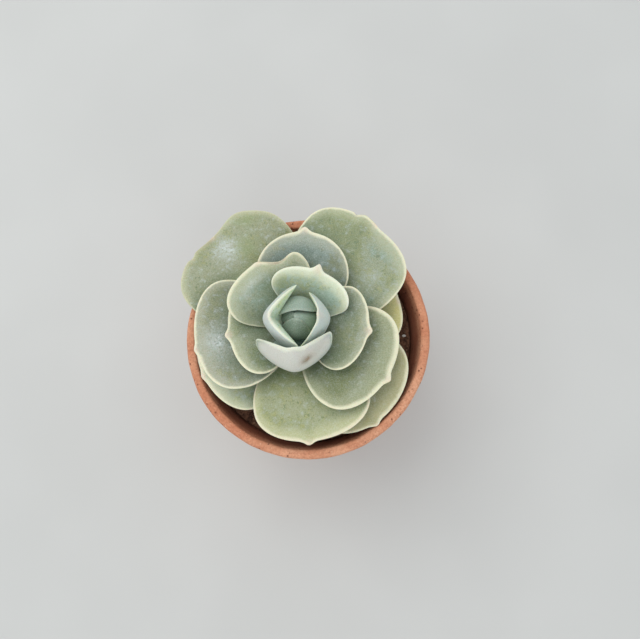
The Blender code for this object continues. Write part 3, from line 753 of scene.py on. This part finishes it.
def make_pot():
    mesh = turned_mesh("pot_body", pot_outline(), POT_SEGMENTS)
    co = points_of(mesh)
    radius, z = np.hypot(co[:, 0], co[:, 1]) / MM, co[:, 2] / MM
    turn = np.arctan2(co[:, 1], co[:, 0])

    # A slightly oval wall with a slow ripple and small wear, under a lip that is not quite level
    wear = np.array([noise.fractal(Vector(c) * 160, 1.0, 2.0, 4) for c in co])
    uneven = OVAL * np.sin(2 * turn + 0.6) + RIPPLE * np.sin(5 * turn + 1.9) + WEAR * wear
    fade = smooth((z - LEVEL_FOOT) / 6)
    share = 1 - (SHRINK - uneven * fade) / radius * fade
    co[:, :2] *= share[:, None]
    co[:, 2] += MM * LIP_WEAR * (wear - 0.5) * smooth((z - LIP_FOOT) / 3)
    move_points(mesh, co)

    # Darker on the inside below the lip, chalky deposits on the outside near the foot and under the collar
    outer = np.where(z < COLLAR_FOOT, FOOT + (SHOULDER - FOOT) * z / COLLAR_FOOT, RIM)
    inside = (radius < np.minimum(outer - THIN_WALL, LIP_INNER + 0.4)) & (z > POT_FLOOR + 1)
    darker_inside = np.where(inside, smooth((HEIGHT - 0.5 - z) / 5), 0)
    chalk = np.where(inside, 0, smooth((24 - z) / 22) + 0.6 * np.exp(-((z - COLLAR_FOOT + 6) / 9)**2))
    set_attributes(mesh, {"darker_inside": darker_inside, "chalk": chalk})
    add_piece("pot_body", mesh, "terracotta", clay_paint(), "pot")


# ---------------------------------------------------------------- soil

SOIL_DROP = 0.9                 # mean level of the loose surface below the soil's highest point
SOIL_GAP = 0.3                  # soil to the pot's floor
SOIL_SEGMENTS = 260
TOP_STEP = 0.45                 # between rings of the loose surface, and of the hidden sides
SIDE_STEP = 2.5
GRAINS = 1700
FINE_SHAPES = 6
COARSE_SHAPES = 5
SMALLEST = 0.22                 # radius of the smallest grain, and how much more the largest has
SPREAD = 0.55
COARSE = 0.7                    # grains larger than this take a shape with more faces
PERLITE = ((36.5, 6.5, 1.3), (-33.5, -30.0, 1.2), (40.0, 1.0, 0.9), (34.0, -25.0, 1.0),
           (-8.0, -38.5, 1.1), (10.0, 39.0, 1.1), (-30.0, 24.0, 1.3))    # x, y, radius in mm


def surface_height(x, y):
    """Height of the soil above or below its mean level, in mm."""
    at = Vector((x, y, 0))
    clods = noise.fractal(at * 0.22, 0.8, 2.1, 4) * 0.9
    return clods + 0.5 * noise.noise(at * 0.06)


def make_soil():
    top = SOIL_TOP - SOIL_DROP
    foot = POT_FLOOR + SOIL_GAP
    corners = [(0, top), (SOIL_EDGE - 0.8, top), (SOIL_EDGE - 0.5, top - 0.9)]
    corners += [(FLOOR_RADIUS + 1.6, POT_FLOOR + 3), (FLOOR_RADIUS - 0.5, foot), (0, foot)]
    points = filled(corners[:2], TOP_STEP) + filled(corners[1:], SIDE_STEP)[1:]
    mesh = turned_mesh("soil_body", [(r * MM, z * MM) for r, z in points], SOIL_SEGMENTS)
    co = points_of(mesh)
    level = co[:, 2] > (top - 0.5) * MM
    for i in np.nonzero(level)[0]:
        co[i, 2] += surface_height(co[i, 0] / MM, co[i, 1] / MM) * MM
    move_points(mesh, co)
    add_piece("soil_body", mesh, "potting_soil", soil_paint(), "soil")


def lump(rng, detail):
    """A rough little stone about the origin, of radius 1."""
    bm = bmesh.new()
    bmesh.ops.create_icosphere(bm, subdivisions=detail, radius=1)
    seed = Vector(rng.uniform(0, 50, 3))
    for vert in bm.verts:
        vert.co *= 0.85 + 0.5 * noise.noise(vert.co * 1.3 + seed)
    bm.verts.index_update()
    places = np.array([v.co for v in bm.verts])
    faces = np.array([[v.index for v in f.verts] for f in bm.faces])
    bm.free()
    return places, faces


def make_grains():
    rng = np.random.default_rng(7)
    fine = [lump(rng, 1) for _ in range(FINE_SHAPES)]
    coarse = [lump(rng, 2) for _ in range(COARSE_SHAPES)]
    spots = []
    for _ in range(GRAINS):
        radius = (SOIL_EDGE - 1.2) * rng.uniform(0.12, 1)**0.45
        turn = rng.uniform(0, 2 * pi)
        size = SMALLEST + SPREAD * rng.uniform(0, 1)**3
        tone = rng.uniform(0, 0.92)**1.4
        spots.append((radius * cos(turn), radius * sin(turn), size, tone))
    spots += [(x, y, size, 1.0) for x, y, size in PERLITE]
    places, faces, tones, count = [], [], [], 0
    for x, y, size, tone in spots:
        shape, corners = (coarse if size > COARSE else fine)[rng.integers(COARSE_SHAPES)]
        squash = rng.uniform(0.6, 1.1, 3) * size
        turn = rng.uniform(0, 2 * pi)
        spin = np.array([[cos(turn), -sin(turn), 0], [sin(turn), cos(turn), 0], [0, 0, 1]])
        height = SOIL_TOP - SOIL_DROP + surface_height(x, y) + 0.25 * size
        places.append((shape * squash) @ spin.T + (x, y, height))
        faces.append(corners + count)
        tones.append(np.full(len(shape), tone))
        count += len(shape)
    mesh = bpy.data.meshes.new("soil_grains")
    mesh.from_pydata(np.concatenate(places) * MM, [], np.concatenate(faces).tolist())
    set_attributes(mesh, {"tone": np.concatenate(tones)})
    add_piece("soil_grains", mesh, "potting_soil", grain_paint())


# ---------------------------------------------------------------- stem

STEM_RINGS = 90
STEM_SEGMENTS = 64
STEM_INSET = 0.9                # stem's skin to leaf bases
STEM_FOOT = 5.2                 # radius below the lowest leaf
STEM_FOOT_TAPER = 0.12          # how much that shrinks for each millimetre down
RIDGE = 0.5                     # height of the ridge under a leaf


def make_stem():
    """A tapering stem with a low ridge where each leaf grows out."""
    low, high = STEM_LOW.z / MM, STEM_HIGH.z / MM
    profile = [(0, high)]
    for z in np.linspace(high - 0.3, low, STEM_RINGS):
        radius = STEM_REACH - STEM_TAPER * max(z - LOWEST_BASE, 0) - STEM_INSET
        profile.append((min(radius, STEM_FOOT - STEM_FOOT_TAPER * max(LOWEST_BASE - z, 0)), z))
    profile.append((0, low))
    mesh = turned_mesh("stem_body", [(r * MM, z * MM) for r, z in profile], STEM_SEGMENTS)
    co = points_of(mesh)
    turn, z = np.arctan2(co[:, 1], co[:, 0]), co[:, 2] / MM
    bulge = np.zeros(len(co))
    for leaf in LEAVES:
        apart = np.abs((turn - radians(leaf.azimuth) + pi) % (2 * pi) - pi)
        bulge += RIDGE * np.exp(-((z - LOWEST_BASE - leaf.level) / 1.2)**2 - (apart / 0.7)**2)
    radius = np.maximum(np.hypot(co[:, 0], co[:, 1]), 1e-6)
    grow = np.where(radius > 0.4 * MM, 1 + bulge * MM / radius, 1)
    co[:, :2] *= grow[:, None]
    co[:, :2] += (PLANT_X * MM, PLANT_Y * MM)
    move_points(mesh, co)
    set_attributes(mesh, {"bark": smooth((LOWEST_BASE + 2 - z) / 4)})
    add_piece("stem_body", mesh, "stem_skin", stem_paint(), "stem")


# ---------------------------------------------------------------- stage

STAGE_SIZE = 4                  # metres, as are the places and sizes below
SKY_COLOUR = (0.93, 0.97, 1.0, 1)
SKY_STRENGTH = 0.88
LIGHTS = (("key", (-0.40, 0.35, 1.0), 0.8, 4.2, (1.0, 0.99, 0.96)),    # name, place, size, watts, colour
          ("fill", (0.2, -0.8, 0.8), 0.9, 1.0, (1.0, 1.0, 1.0)))
LENS = 39.375
SENSOR = 36
CAMERA_PLACE = (0.015, -0.048, 0.3695)
CAMERA_TILT = 10.95             # degrees from straight down, and degrees to the side
CAMERA_LEAN = 2.0


def make_stage():
    bpy.ops.mesh.primitive_plane_add(size=STAGE_SIZE)
    floor = bpy.context.object
    floor.name = "floor"
    floor.data.materials.append(floor_paint())

    world = bpy.data.worlds.new("studio")
    bpy.context.scene.world = world
    world.use_nodes = True
    sky = world.node_tree.nodes["Background"]
    sky.inputs["Color"].default_value = SKY_COLOUR
    sky.inputs["Strength"].default_value = SKY_STRENGTH

    for name, place, size, power, colour in LIGHTS:
        light = bpy.data.lights.new(name, "AREA")
        light.size = size
        light.energy = power
        light.color = colour
        obj = bpy.data.objects.new(name, light)
        obj.location = place
        obj.rotation_euler = (-Vector(place)).to_track_quat("-Z", "Y").to_euler()
        bpy.context.scene.collection.objects.link(obj)

    bpy.context.scene.view_settings.view_transform = "Standard"


def make_camera():
    """A camera held over the pot, a little in front of it."""
    data = bpy.data.cameras.new("camera")
    data.lens = LENS
    data.sensor_width = SENSOR
    data.clip_start = 0.01
    camera = bpy.data.objects.new("camera", data)
    camera.location = CAMERA_PLACE
    camera.rotation_euler = (radians(CAMERA_TILT), radians(CAMERA_LEAN), 0)
    bpy.context.scene.collection.objects.link(camera)
    bpy.context.scene.camera = camera


make_camera()
make_stage()
make_pot()
make_soil()
make_grains()
make_stem()

# From the growing point outwards, so that each leaf knows the ones above it
made = []
for number, each in reversed(list(enumerate(LEAVES))):
    made.append(make_leaf(number, each, made))
